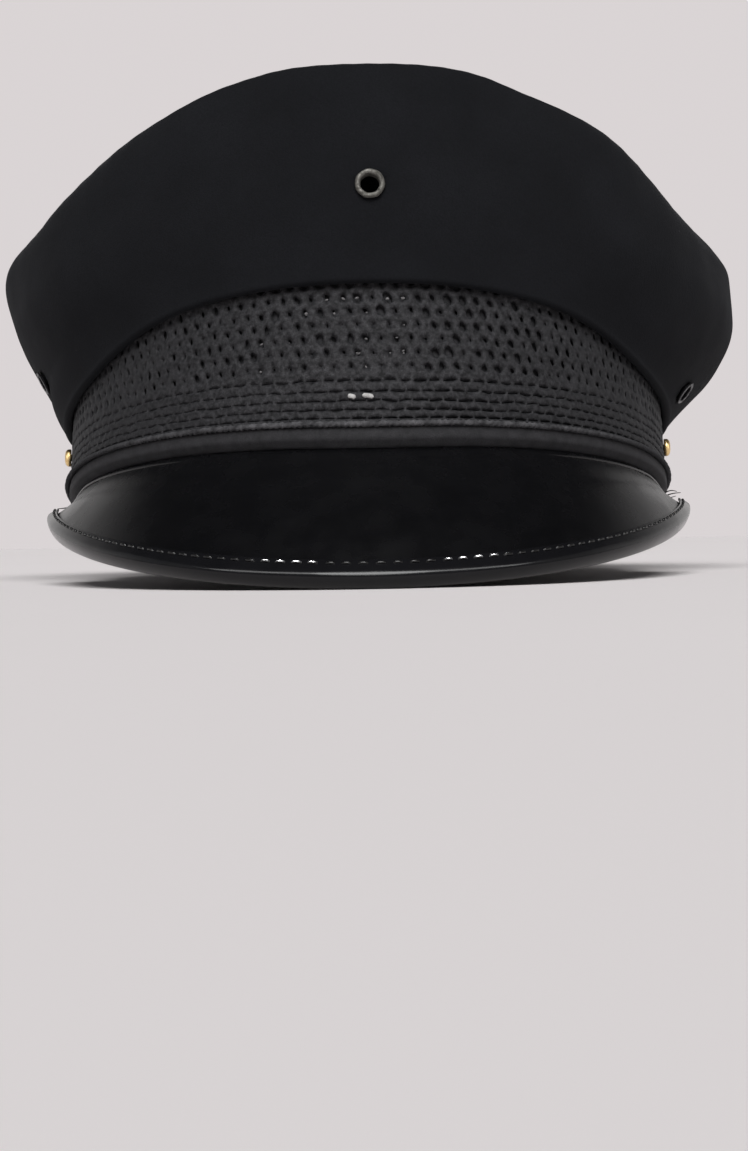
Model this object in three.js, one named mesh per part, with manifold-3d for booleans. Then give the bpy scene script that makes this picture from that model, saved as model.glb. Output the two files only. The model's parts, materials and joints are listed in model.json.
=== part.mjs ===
// A peaked pilot cap: a soft cloth crown, an openwork band over a stiff frame, a stitched peak,
// a sweatband, three eyelets and the two studs of a chin strap that is not fitted.
// Millimetres, +Z up, the peak toward -Y. The cap rests by itself on a table: on the middle of the
// peak's rim and on the back of the band, so its front is a little raised.
import * as THREE from 'three';
import Module from 'manifold-3d';
import { mergeVertices } from 'three/addons/utils/BufferGeometryUtils.js';

const wasm = await Module();
wasm.setup();

// The fit between pieces that touch
const gap = 0.3;

// The band: an oval seen from above, its outer face leaning in toward the top
const bandHalfWidth = 91;
const bandHalfLength = 108;
const bandLean = 1.2;
const frameHeight = 43.5;
const frameThickness = 2;
const borderHeight = 5;
const borderStep = 0.3;
const borderRound = 1.9;
const braidTop = 43;
const braidThickness = 1.2;
const pipingRadius = 0.7;
const pipingHeight = 5.4;

// The sweatband inside the frame
const sweatThickness = 1.2;
const sweatBottom = 0.8;
const sweatTop = 38;

// The crown: cloth sewn to the top of the band, falling in a fold over it, then out and up
const clothThickness = 1.2;
const seamHeight = 44.5;
const foldRadius = 0.75;
const foldStart = 0.95;
const flareEnd = 0.73;
const flarePower = 1.14;
const dentStart = 0.25;
const shoulderTurn = 55;
const topCentreY = 6;
const topCentreHeight = 76;
const topLift = 4;
const topLiftReach = 0.09;

// Sections of the cap, one row for each direction round it, from the front (0) to the back (180):
// how far the band's lower edge rises over its plane, the height of the crown's fold, how far the
// crown's wall stands out of the band at its widest and at what height, and how far in from there
// and how high the top seam lies
const capSections = [
  { direction: 0, rise: -0.8, fold: 41.2, wideOut: 5, wideHeight: 78, edgeIn: 3.5, edgeHeight: 97.5 },
  { direction: 18, rise: 0.3, fold: 40.8, wideOut: 5.8, wideHeight: 77, edgeIn: 3.5, edgeHeight: 96.5 },
  { direction: 36, rise: 1.9, fold: 38.2, wideOut: 9, wideHeight: 72, edgeIn: 4.5, edgeHeight: 89.5 },
  { direction: 60, rise: 3.2, fold: 29.5, wideOut: 16, wideHeight: 67, edgeIn: 7, edgeHeight: 79 },
  { direction: 90, rise: 1.8, fold: 25.8, wideOut: 22.5, wideHeight: 69, edgeIn: 8, edgeHeight: 78 },
  { direction: 120, rise: 0, fold: 28, wideOut: 22, wideHeight: 65, edgeIn: 8, edgeHeight: 75 },
  { direction: 150, rise: 0, fold: 31.5, wideOut: 20, wideHeight: 60, edgeIn: 7, edgeHeight: 70 },
  { direction: 180, rise: 0, fold: 33, wideOut: 18.5, wideHeight: 58, edgeIn: 7, edgeHeight: 68 },
];

// Dents and swells of the soft cloth: where each is, how wide and tall, and how deep (out is positive)
const crownDents = [
  { direction: -18, height: 90, halfAngle: 5, halfHeight: 9, depth: -1.2 },
  { direction: 25, height: 90, halfAngle: 5, halfHeight: 9, depth: -0.9 },
  { direction: 40, height: 87, halfAngle: 12, halfHeight: 10, depth: 1.8 },
  { direction: -64, height: 77, halfAngle: 8, halfHeight: 10, depth: -1.4 },
  { direction: 64, height: 76, halfAngle: 13, halfHeight: 12, depth: -2.4 },
  { direction: -88, height: 48, halfAngle: 26, halfHeight: 17, depth: -6.9 },
  { direction: 88, height: 60, halfAngle: 18, halfHeight: 16, depth: 0.8 },
  { direction: 128, height: 56, halfAngle: 12, halfHeight: 12, depth: -2.5 },
  { direction: -132, height: 58, halfAngle: 12, halfHeight: 14, depth: -2.5 },
  { direction: 172, height: 52, halfAngle: 14, halfHeight: 9, depth: -2 },
];

// The peak: from under the band down and forward to a rim that lies in one sloping plane
const peakReach = 75;
const peakThickness = 2.2;
const peakTuck = 3;
const peakFlangeThickness = 1.8;
const peakStart = 0.04;
const peakBulge = 1.6;
const peakBulgeLength = 40;
const rimHalfWidth = 97;
const rimHalfLength = 138;
const rimDrop = 37.3;
const rimSlope = 0.33;
const bindingThickness = 0.8;
const bindingWidth = 5.4;
const bindingShare = 0.55;
const bindingFit = 0.45;
const bindingRound = 0.9;
const bindingDepth = peakThickness + 2 * (bindingThickness + bindingFit);
const bindingSinkEnd = 0.25;

// The eyelets and the studs
const eyeletRadius = 3.75;
const eyeletHole = 2.4;
const eyeletBarrel = 2.8;
const eyeletFlange = 0.6;
const eyeletInnerEdge = 0.36;
const eyeletOuterEdge = 0.18;
const eyeletHoleLength = 5;
const frontEyeletDirection = 1;
const frontEyeletHeight = 64.5;
const frontEyeletSeat = 0.9;
const leftVentDirection = -77;
const leftVentHeight = 39.5;
const rightVentDirection = 76;
const rightVentHeight = 32.8;
const ventSeat = 1.2;
const studDirection = 79;
const studHeight = 15.4;
const studHeadRadius = 2.6;
const studHeadDepth = 1.9;
const studHeadSide = 1.05;
const studShankRadius = 1;
const studHoleLength = 12;

// How finely the curves are cut: the counts round the cap, the peak and the small turned pieces,
// and the places of the cuts up the crown's wall, inward over its top and down the peak's blade
const aroundCap = 64;
const aroundPeak = 39;
const aroundSmall = 14;
const wallStops = [0, 0.25, 0.5, 0.75, 1, 1.08, 1.2, 1.36, 1.55, 1.74, 2, 2.35, 2.7, 3];
const topStops = [0, 0.05, 0.12, 0.24, 0.45, 0.72];
const bladeStops = [0.35, 0.7, 1];
const seamStep = 0.03;
const weldDistance = 1e-4;

const radians = THREE.MathUtils.degToRad;
const lerp = THREE.MathUtils.lerp;

// A point on the band's oval in one direction, moved out along the oval's normal, at one height
function ovalPoint(direction, out, height) {
  const turn = radians(direction);
  const normal = new THREE.Vector2(Math.sin(turn) / bandHalfWidth, -Math.cos(turn) / bandHalfLength);
  normal.normalize();
  return new THREE.Vector3(
    bandHalfWidth * Math.sin(turn) + out * normal.x,
    -bandHalfLength * Math.cos(turn) + out * normal.y,
    height,
  );
}

// The band's outer face at one height, as a distance out of the oval
function bandFace(height) {
  return -bandLean * height / frameHeight;
}

// A row of the sections by its number; past either end the rows repeat on the cap's other side
function sectionRow(index, column) {
  const last = capSections.length - 1;
  const section = capSections[last - Math.abs(last - Math.abs(index))];
  if (index < 0) {
    return { at: -section.direction, value: section[column] };
  }
  return { at: index > last ? 360 - section.direction : section.direction, value: section[column] };
}

// One value of the sections in any direction, by a smooth curve through their rows
function sectionValue(direction, column) {
  const place = Math.abs(THREE.MathUtils.euclideanModulo(direction + 180, 360) - 180);
  let index = 0;
  while (index < capSections.length - 2 && capSections[index + 1].direction < place) {
    index += 1;
  }
  const [before, here, next, after] = [-1, 0, 1, 2].map((step) => sectionRow(index + step, column));
  const span = next.at - here.at;
  const part = (place - here.at) / span;
  const startSlope = span * (next.value - before.value) / (next.at - before.at);
  const endSlope = span * (after.value - here.value) / (after.at - here.at);
  const blend = part * part * (3 - 2 * part);
  const leaving = part * (1 - part) * (1 - part);
  const arriving = part * part * (1 - part);
  return lerp(here.value, next.value, blend) + startSlope * leaving - endSlope * arriving;
}

// A point of the band: so far out of the oval and so high in a band with a level lower edge; the
// rise of that edge fades out toward the top of the frame
function bandPoint(direction, out, height) {
  const rise = sectionValue(direction, 'rise') * (1 - height / frameHeight);
  return ovalPoint(direction, out, height + rise);
}

// How far the dents and swells move the cloth out at one place
function dentDepth(direction, height) {
  let depth = 0;
  for (const dent of crownDents) {
    const away = THREE.MathUtils.euclideanModulo(direction - dent.direction + 180, 360) - 180;
    const across = away / dent.halfAngle;
    const up = (height - dent.height) / dent.halfHeight;
    depth += dent.depth * Math.exp(-(across * across + up * up));
  }
  return depth;
}

// The middle of the crown's cloth. The second value runs from 0 at the seam inside the fold to
// 1 where the cloth leaves the fold, 2 at the widest place, 3 at the top seam and 4 at the centre.
function crownPoint(direction, along) {
  const fold = sectionValue(direction, 'fold');
  const foldFace = foldStart + bandFace(fold);
  const outerLeaf = foldFace + 2 * foldRadius;
  if (along < 0.5) {
    const height = lerp(seamHeight, fold + foldRadius, along * 2);
    return ovalPoint(direction, foldStart + bandFace(height), height);
  }
  if (along < 1) {
    const turn = (along - 0.5) * 2 * Math.PI;
    const out = foldFace + foldRadius * (1 - Math.cos(turn));
    return ovalPoint(direction, out, fold + foldRadius * (1 - Math.sin(turn)));
  }
  const wideOut = sectionValue(direction, 'wideOut');
  const wideHeight = sectionValue(direction, 'wideHeight');
  if (along < 2) {
    const part = along - 1;
    const height = lerp(fold + foldRadius, wideHeight, part);
    const swell = Math.sin(Math.PI / 2 * Math.pow(Math.min(1, part / flareEnd), flarePower));
    const dent = dentDepth(direction, height) * Math.min(1, part / dentStart);
    return ovalPoint(direction, lerp(outerLeaf, wideOut, swell) + dent, height);
  }
  const edgeHeight = sectionValue(direction, 'edgeHeight');
  const turn = radians(shoulderTurn) * Math.min(1, along - 2);
  const roundUp = (edgeHeight - wideHeight) / Math.sin(radians(shoulderTurn));
  const roundIn = sectionValue(direction, 'edgeIn') / (1 - Math.cos(radians(shoulderTurn)));
  const height = wideHeight + roundUp * Math.sin(turn);
  const out = wideOut - roundIn * (1 - Math.cos(turn));
  const wall = ovalPoint(direction, out + dentDepth(direction, height), height);
  if (along <= 3) {
    return wall;
  }
  const inward = along - 3;
  const lift = topLift * (1 - Math.exp(-inward / topLiftReach) - inward);
  const centre = new THREE.Vector3(0, topCentreY, topCentreHeight);
  return new THREE.Vector3().lerpVectors(wall, centre, inward).add(new THREE.Vector3(0, 0, lift));
}

// The crown's outward direction at one place, from two short steps over the cloth
function crownNormal(direction, along) {
  const turnStep = 0.5;
  const alongStep = 0.01;
  const sideways = crownPoint(direction + turnStep, along).sub(crownPoint(direction - turnStep, along));
  const upward = crownPoint(direction, along + alongStep).sub(crownPoint(direction, along - alongStep));
  return sideways.cross(upward).normalize();
}

// The outward direction that the wall and the top panel share at their seam
function seamNormal(direction) {
  const below = crownNormal(direction, 3 - seamStep);
  return below.add(crownNormal(direction, 3 + seamStep)).normalize();
}

// A closed body through rows of points; closedRows joins the last row to the first, and otherwise
// each end row is a face of its own
function loft(rows, closedRows) {
  const positions = [];
  const triangles = [];
  const count = rows[0].length;
  const pairs = closedRows ? rows.length : rows.length - 1;
  for (const row of rows) {
    for (const point of row) {
      positions.push(point.x, point.y, point.z);
    }
  }
  for (let i = 0; i < pairs; i += 1) {
    const next = (i + 1) % rows.length;
    for (let j = 0; j < count; j += 1) {
      const after = (j + 1) % count;
      triangles.push(i * count + j, next * count + j, next * count + after);
      triangles.push(i * count + j, next * count + after, i * count + after);
    }
  }
  if (!closedRows) {
    const lastStart = (rows.length - 1) * count;
    for (const [a, b, c] of faceTriangles(rows[0])) {
      triangles.push(a, b, c);
    }
    for (const [a, b, c] of faceTriangles(rows[rows.length - 1])) {
      triangles.push(lastStart + c, lastStart + b, lastStart + a);
    }
  }
  return facingOut(positions, triangles);
}

// The triangles that fill a closed row of points, each running the same way round as the row
function faceTriangles(row) {
  const normal = new THREE.Vector3();
  row.forEach((point, index) => {
    normal.add(new THREE.Vector3().crossVectors(point, row[(index + 1) % row.length]));
  });
  normal.normalize();
  const sideways = new THREE.Vector3().subVectors(row[1], row[0]);
  sideways.addScaledVector(normal, -sideways.dot(normal)).normalize();
  const upward = new THREE.Vector3().crossVectors(normal, sideways);
  const flat = row.map((point) => new THREE.Vector2(point.dot(sideways), point.dot(upward)));
  return THREE.ShapeUtils.triangulateShape(flat, []).map(([a, b, c]) => {
    const side = new THREE.Vector2().subVectors(flat[b], flat[a]);
    const other = new THREE.Vector2().subVectors(flat[c], flat[a]);
    return side.cross(other) > 0 ? [a, b, c] : [a, c, b];
  });
}

// A geometry from points and triangles, turned so that its faces point out
function facingOut(positions, triangles) {
  let volume = 0;
  const corner = (index) => new THREE.Vector3().fromArray(positions, index * 3);
  for (let i = 0; i < triangles.length; i += 3) {
    const cross = corner(triangles[i + 1]).cross(corner(triangles[i + 2]));
    volume += corner(triangles[i]).dot(cross);
  }
  if (volume < 0) {
    triangles.reverse();
  }
  const geometry = new THREE.BufferGeometry();
  geometry.setAttribute('position', new THREE.Float32BufferAttribute(positions, 3));
  geometry.setIndex(triangles);
  geometry.computeVertexNormals();
  return geometry;
}

// The directions of the cuts round the whole cap, the first pair on each side of the front
function capDirections() {
  return Array.from({ length: aroundCap }, (_, index) => (index + 0.5) * 360 / aroundCap);
}

// A ring of the band from one closed section of distances out of the oval and heights
function bandRing(section) {
  const rows = capDirections().map((direction) => (
    section.map(([out, height]) => bandPoint(direction, out, height))
  ));
  return loft(rows, true);
}

// A geometry's points and triangles alone, with points at the same place made one
function welded(geometry) {
  const bare = geometry.clone();
  bare.deleteAttribute('normal');
  bare.deleteAttribute('uv');
  return mergeVertices(bare, weldDistance);
}

function solidOf(geometry) {
  const merged = welded(geometry);
  return new wasm.Manifold(new wasm.Mesh({
    numProp: 3,
    vertProperties: new Float32Array(merged.attributes.position.array),
    triVerts: new Uint32Array(merged.index.array),
  }));
}

function geometryOf(solid) {
  const mesh = solid.getMesh();
  const geometry = new THREE.BufferGeometry();
  geometry.setAttribute('position', new THREE.Float32BufferAttribute(mesh.vertProperties, 3));
  geometry.setIndex(Array.from(mesh.triVerts));
  geometry.computeVertexNormals();
  return geometry;
}

// A geometry with round holes through it, each given by the frame that its axis follows
function pierced(geometry, holes) {
  let solid = solidOf(geometry);
  for (const hole of holes) {
    const drill = new THREE.CylinderGeometry(hole.radius, hole.radius, hole.length, aroundSmall);
    drill.rotateX(Math.PI / 2);
    drill.applyMatrix4(hole.frame);
    solid = solid.subtract(solidOf(drill));
  }
  return geometryOf(solid);
}

// A frame at a point whose own +Z runs along a direction
function frameAt(point, axis) {
  const turn = new THREE.Quaternion().setFromUnitVectors(new THREE.Vector3(0, 0, 1), axis);
  return new THREE.Matrix4().compose(point, turn, new THREE.Vector3(1, 1, 1));
}

// Where on the crown's wall one height lies, found by halving
function crownAlong(direction, height) {
  let low = 1;
  let high = 3;
  for (let i = 0; i < 24; i += 1) {
    const middle = (low + high) / 2;
    if (crownPoint(direction, middle).z < height) {
      low = middle;
    } else {
      high = middle;
    }
  }
  return low;
}

function eyeletFrame(direction, height) {
  const along = crownAlong(direction, height);
  return frameAt(crownPoint(direction, along), crownNormal(direction, along));
}

function studFrame(side) {
  const face = bandPoint(side * studDirection, bandFace(studHeight), studHeight);
  const outer = bandPoint(side * studDirection, bandFace(studHeight) + 1, studHeight);
  return frameAt(face, outer.sub(face).normalize());
}

const frontEyeletFrame = eyeletFrame(frontEyeletDirection, frontEyeletHeight);
const leftVentFrame = eyeletFrame(leftVentDirection, leftVentHeight);
const rightVentFrame = eyeletFrame(rightVentDirection, rightVentHeight);
const leftStudFrame = studFrame(-1);
const rightStudFrame = studFrame(1);

// The crown's side wall, from the seam inside the fold to the top seam
function crownWall() {
  const rows = capDirections().map((direction) => {
    const outer = [];
    const inner = [];
    for (const along of wallStops) {
      const point = crownPoint(direction, along);
      const normal = along === 3 ? seamNormal(direction) : crownNormal(direction, along);
      outer.push(point.clone().addScaledVector(normal, clothThickness / 2));
      inner.push(point.clone().addScaledVector(normal, -clothThickness / 2));
    }
    return [...outer, ...inner.reverse()];
  });
  const holes = [frontEyeletFrame, leftVentFrame, rightVentFrame].map((frame) => (
    { frame, radius: eyeletBarrel + gap, length: eyeletHoleLength }
  ));
  return pierced(loft(rows, true), holes);
}

// The crown's top panel, from the top seam to its middle
function crownTop() {
  const directions = capDirections();
  const positions = [];
  const triangles = [];
  const count = topStops.length * 2;
  for (const direction of directions) {
    const outer = [];
    const inner = [];
    for (const inward of topStops) {
      const point = crownPoint(direction, 3 + inward);
      const normal = inward === 0 ? seamNormal(direction) : crownNormal(direction, 3 + inward);
      if (inward === 0) {
        const onward = crownPoint(direction, 3 + seamStep).sub(point);
        onward.addScaledVector(normal, -onward.dot(normal)).normalize();
        point.addScaledVector(onward, gap);
      }
      outer.push(point.clone().addScaledVector(normal, clothThickness / 2));
      inner.push(point.clone().addScaledVector(normal, -clothThickness / 2));
    }
    for (const point of [...outer.reverse(), ...inner]) {
      positions.push(point.x, point.y, point.z);
    }
  }
  const centreHeight = crownPoint(0, 4).z;
  const topCentre = positions.length / 3;
  positions.push(0, topCentreY, centreHeight + clothThickness / 2);
  positions.push(0, topCentreY, centreHeight - clothThickness / 2);
  directions.forEach((_, index) => {
    const next = (index + 1) % directions.length;
    const here = index * count;
    const there = next * count;
    for (let j = 0; j < count - 1; j += 1) {
      triangles.push(here + j, there + j, there + j + 1);
      triangles.push(here + j, there + j + 1, here + j + 1);
    }
    triangles.push(there, here, topCentre);
    triangles.push(here + count - 1, there + count - 1, topCentre + 1);
  });
  return facingOut(positions, triangles);
}

// The stiff frame of the band, whose thicker lower edge is the smooth border strip
function bandFrame() {
  const wall = -braidThickness - gap;
  const section = [
    [wall - frameThickness, 0],
    [borderStep - borderRound, 0],
    [borderStep, borderRound],
    [borderStep, borderHeight],
    [wall + bandFace(borderHeight), borderHeight],
    [wall + bandFace(frameHeight), frameHeight],
    [wall + bandFace(frameHeight) - frameThickness, frameHeight],
  ];
  return pierced(bandRing(section), studHoles());
}

// The openwork braid round the frame, from the border strip up under the cloth
function bandBraid() {
  const low = borderHeight + gap;
  const section = [
    [bandFace(low) - braidThickness, low],
    [bandFace(low), low],
    [bandFace(braidTop), braidTop],
    [bandFace(braidTop) - braidThickness, braidTop],
  ];
  return pierced(bandRing(section), studHoles());
}

function studHoles() {
  return [leftStudFrame, rightStudFrame].map((frame) => (
    { frame, radius: studShankRadius + gap, length: studHoleLength }
  ));
}

// The cord along the upper edge of the border strip
function borderPiping() {
  const middle = borderStep + gap + pipingRadius;
  const sides = 6;
  const section = Array.from({ length: sides }, (_, index) => {
    const turn = (index + 0.5) * 2 * Math.PI / sides;
    return [middle + pipingRadius * Math.cos(turn), pipingHeight + pipingRadius * Math.sin(turn)];
  });
  return bandRing(section);
}

function sweatband() {
  const outer = -braidThickness - frameThickness - 2 * gap;
  const section = [
    [outer - sweatThickness, sweatBottom],
    [outer, sweatBottom],
    [outer + bandFace(sweatTop), sweatTop],
    [outer + bandFace(sweatTop) - sweatThickness, sweatTop],
  ];
  return bandRing(section);
}

// The upper edge of the peak's rim in one direction
function rimPoint(direction) {
  const turn = radians(direction);
  const y = -rimHalfLength * Math.cos(turn);
  return new THREE.Vector3(rimHalfWidth * Math.sin(turn), y, -rimDrop + rimSlope * (y + rimHalfLength));
}

// The peak's own directions at one place: where it leaves the band, how far its rim is, the way
// down to the rim and the way out of its upper face
function peakAxes(direction) {
  const start = bandPoint(direction, borderStep - borderRound, -gap);
  const run = rimPoint(direction).sub(start);
  const down = run.clone().normalize();
  const level = new THREE.Vector3(down.y, -down.x, 0).normalize();
  const face = new THREE.Vector3().crossVectors(down, level).normalize();
  if (face.z < 0) {
    face.negate();
  }
  return { start, length: run.length(), down, face };
}

// A point of the peak: so far from the band along its slope, and so far under its upper face
function peakPoint(direction, distance, depth) {
  const { start, length, down, face } = peakAxes(direction);
  const fullBulge = peakBulge * Math.min(1, length / peakBulgeLength);
  const bulge = fullBulge * Math.sin(Math.PI * Math.min(1, distance / length));
  return start.clone().addScaledVector(down, distance).addScaledVector(face, bulge - depth);
}

function peakDirections() {
  return Array.from({ length: aroundPeak + 1 }, (_, index) => lerp(-peakReach, peakReach, index / aroundPeak));
}

// How wide the binding lies on each face of the peak
function boundWidth(length) {
  return Math.min(bindingWidth, length * bindingShare);
}

// The peak's plate: a short flange tucked under the band, then the sloping blade to its bound edge
function peakPlate() {
  const sink = bindingThickness + bindingFit;
  const flange = borderStep - borderRound - peakTuck + gap;
  const rows = peakDirections().map((direction) => {
    const { length } = peakAxes(direction);
    const bound = length - boundWidth(length);
    const stops = [peakStart * length, ...bladeStops.map((stop) => stop * bound), length - sink];
    const depth = (distance) => sink * Math.min(1, distance / length / bindingSinkEnd);
    const upper = stops.map((distance) => peakPoint(direction, distance, depth(distance)));
    const lower = stops.map((distance) => peakPoint(direction, distance, depth(distance) + peakThickness));
    return [
      bandPoint(direction, flange, -gap),
      bandPoint(direction, borderStep - borderRound, -gap),
      ...upper,
      ...lower.reverse(),
      bandPoint(direction, flange, -gap - peakFlangeThickness),
    ];
  });
  return loft(rows, false);
}

// The binding: a folded strip round the rim of the plate
function peakBinding() {
  const rows = peakDirections().map((direction) => {
    const reach = peakAxes(direction).length;
    const width = boundWidth(reach);
    const inset = bindingThickness;
    return [
      peakPoint(direction, reach - width, 0),
      peakPoint(direction, reach - bindingRound, 0),
      peakPoint(direction, reach, bindingRound),
      peakPoint(direction, reach, bindingDepth - bindingRound),
      peakPoint(direction, reach - bindingRound, bindingDepth),
      peakPoint(direction, reach - width, bindingDepth),
      peakPoint(direction, reach - width, bindingDepth - inset),
      peakPoint(direction, reach - inset, bindingDepth - inset),
      peakPoint(direction, reach - inset, inset),
      peakPoint(direction, reach - width, inset),
    ];
  });
  return loft(rows, false);
}

// A turned piece whose profile of radii and heights closes on itself or runs from axis to axis
function turned(profile) {
  const points = profile.map(([radius, height]) => new THREE.Vector2(radius, height));
  const lathe = new THREE.LatheGeometry(points, aroundSmall);
  lathe.rotateX(Math.PI / 2);
  const merged = welded(lathe);
  const kept = [];
  for (let i = 0; i < merged.index.count; i += 3) {
    const [a, b, c] = [0, 1, 2].map((corner) => merged.index.getX(i + corner));
    if (a !== b && b !== c && c !== a) {
      kept.push(a, b, c);
    }
  }
  return geometryOf(solidOf(facingOut(Array.from(merged.attributes.position.array), kept)));
}

// An eyelet: a domed ring outside the cloth, a barrel through it and a rolled edge behind it;
// seat is how far ring and roll stay from the middle of the cloth
function eyelet(seat) {
  return turned([
    [eyeletHole, -seat - eyeletInnerEdge],
    [eyeletHole, seat + eyeletInnerEdge],
    [(eyeletHole + eyeletRadius) / 2, seat + eyeletFlange],
    [eyeletRadius, seat + eyeletOuterEdge],
    [eyeletRadius, seat],
    [eyeletBarrel, seat],
    [eyeletBarrel, -seat],
    [eyeletRadius - gap, -seat],
    [eyeletRadius - gap, -seat - eyeletFlange],
    [eyeletHole, -seat - eyeletInnerEdge],
  ]);
}

// A stud: a rounded head outside the braid and a shank through braid and frame
function stud() {
  const seat = gap;
  const shankEnd = -braidThickness - frameThickness - gap;
  return turned([
    [0, shankEnd],
    [studShankRadius, shankEnd],
    [studShankRadius, seat],
    [studHeadRadius, seat],
    [studHeadRadius, seat + studHeadSide],
    [(studHeadRadius + studShankRadius) / 2, seat + studHeadDepth],
    [0, seat + studHeadDepth],
  ]);
}

const looks = {
  cloth: { color: 0x17171a, roughness: 0.95, metalness: 0 },
  braid: { color: 0x2b2b2e, roughness: 0.8, metalness: 0 },
  border: { color: 0x1d1d20, roughness: 0.85, metalness: 0 },
  piping: { color: 0x3a3a3d, roughness: 0.85, metalness: 0 },
  leather: { color: 0x0d0d0e, roughness: 0.45, metalness: 0 },
  binding: { color: 0x0a0a0b, roughness: 0.3, metalness: 0 },
  sweat: { color: 0x1a1817, roughness: 0.6, metalness: 0 },
  steel: { color: 0xb9bbb8, roughness: 0.35, metalness: 1 },
  darkSteel: { color: 0x4a4b4d, roughness: 0.4, metalness: 1 },
  brass: { color: 0xc9963c, roughness: 0.3, metalness: 1 },
};

function piece(name, geometry, look, frame) {
  const mesh = new THREE.Mesh(geometry, new THREE.MeshStandardMaterial(looks[look]));
  mesh.name = name;
  if (frame) {
    frame.decompose(mesh.position, mesh.quaternion, mesh.scale);
  }
  return mesh;
}

// The lean at rest: the line from the binding's lower edge to the back of the band lies level
function restLean() {
  const besideFront = peakReach / aroundPeak;
  const besideBack = 180 - 180 / aroundCap;
  const front = peakPoint(besideFront, peakAxes(besideFront).length - bindingRound, bindingDepth);
  const back = bandPoint(besideBack, borderStep - borderRound, 0);
  return Math.atan2(front.z - back.z, back.y - front.y);
}

const cap = new THREE.Group();
cap.add(piece('crown_side', crownWall(), 'cloth'));
cap.add(piece('crown_top', crownTop(), 'cloth'));
cap.add(piece('band_frame', bandFrame(), 'border'));
cap.add(piece('band_braid', bandBraid(), 'braid'));
cap.add(piece('border_piping', borderPiping(), 'piping'));
cap.add(piece('sweatband', sweatband(), 'sweat'));
cap.add(piece('peak', peakPlate(), 'leather'));
cap.add(piece('peak_binding', peakBinding(), 'binding'));
cap.add(piece('front_eyelet', eyelet(frontEyeletSeat), 'steel', frontEyeletFrame));
cap.add(piece('vent_eyelet_left', eyelet(ventSeat), 'darkSteel', leftVentFrame));
cap.add(piece('vent_eyelet_right', eyelet(ventSeat), 'darkSteel', rightVentFrame));
cap.add(piece('strap_stud_left', stud(), 'brass', leftStudFrame));
cap.add(piece('strap_stud_right', stud(), 'brass', rightStudFrame));

// The cap at rest, its lowest points on the table and the middle of its box over the origin
cap.rotation.x = restLean();
const box = new THREE.Box3().setFromObject(cap, true);
const middle = box.getCenter(new THREE.Vector3());
cap.position.set(-middle.x, -middle.y, -box.min.z);

const part = new THREE.Group();
part.add(cap);

export default part;
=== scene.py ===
# The pilot cap's looks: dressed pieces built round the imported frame, then the camera, lights and floor.
# Shapes are worked out in millimetres in the cap's own frame: +Z up from the plane of the band's
# lower edge, the peak toward -Y, and the origin in the middle of the band.
import json
import math
import random

import bpy
import numpy as np
from mathutils import Matrix, Vector, noise


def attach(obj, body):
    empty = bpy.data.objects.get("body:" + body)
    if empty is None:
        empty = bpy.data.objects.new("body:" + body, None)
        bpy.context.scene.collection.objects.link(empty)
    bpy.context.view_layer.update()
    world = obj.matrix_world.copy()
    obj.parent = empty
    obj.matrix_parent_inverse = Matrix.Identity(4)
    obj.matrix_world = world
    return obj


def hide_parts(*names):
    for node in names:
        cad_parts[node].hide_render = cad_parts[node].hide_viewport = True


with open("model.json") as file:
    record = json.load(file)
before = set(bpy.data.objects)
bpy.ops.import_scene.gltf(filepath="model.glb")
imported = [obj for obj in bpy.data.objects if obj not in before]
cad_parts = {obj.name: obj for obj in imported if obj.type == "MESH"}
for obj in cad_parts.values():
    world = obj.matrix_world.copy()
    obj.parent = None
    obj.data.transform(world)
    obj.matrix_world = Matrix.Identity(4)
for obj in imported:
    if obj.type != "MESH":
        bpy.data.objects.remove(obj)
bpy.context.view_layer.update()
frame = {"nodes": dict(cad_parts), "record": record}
rng = random.Random(11)

MM = 0.001

# The band and what lies on it
BAND_HALF_WIDTH = 91
BAND_HALF_LENGTH = 108
BAND_LEAN = 1.2
FRAME_HEIGHT = 43.5
FRAME_THICKNESS = 2
BORDER_HEIGHT = 5
BORDER_STEP = 0.3
BORDER_ROUND = 1.9
BRAID_THICKNESS = 1.2
CORD_RADIUS = 0.7
CORD_HEIGHT = 5.4
SWEAT_THICKNESS = 1.2
SWEAT_BOTTOM = 0.8
SWEAT_TOP = 38
FIT = 0.3

# The crown
CLOTH = 1.2
SEAM_HEIGHT = 44.5
FOLD_RADIUS = 0.75
FOLD_START = 0.95
FLARE_END = 0.73
FLARE_POWER = 1.14
DENT_START = 0.25
SHOULDER_TURN = 55
TOP_CENTRE = (0, 6, 76)
TOP_LIFT = 4
TOP_LIFT_REACH = 0.09
# The sections of the cap from front to back; rise is how far the band's lower edge is over its plane
SECTION_COLUMNS = ("direction", "rise", "fold", "wide_out", "wide_height", "edge_in", "edge_height")
CAP_SECTIONS = (
    (0, -0.8, 41.2, 5, 78, 3.5, 97.5),
    (18, 0.3, 40.8, 5.8, 77, 3.5, 96.5),
    (36, 1.9, 38.2, 9, 72, 4.5, 89.5),
    (60, 3.2, 29.5, 16, 67, 7, 79),
    (90, 1.8, 25.8, 22.5, 69, 8, 78),
    (120, 0, 28, 22, 65, 8, 75),
    (150, 0, 31.5, 20, 60, 7, 70),
    (180, 0, 33, 18.5, 58, 7, 68),
)
# Each dent or swell: its direction, its height, half its angle, half its height, its depth outward
CROWN_DENTS = (
    (-18, 90, 5, 9, -1.2),
    (25, 90, 5, 9, -0.9),
    (40, 87, 12, 10, 1.8),
    (-64, 77, 8, 10, -1.4),
    (64, 76, 13, 12, -2.4),
    (-88, 48, 26, 17, -6.9),
    (88, 60, 18, 16, 0.8),
    (128, 56, 12, 12, -2.5),
    (-132, 58, 12, 14, -2.5),
    (172, 52, 14, 9, -2),
)

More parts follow.
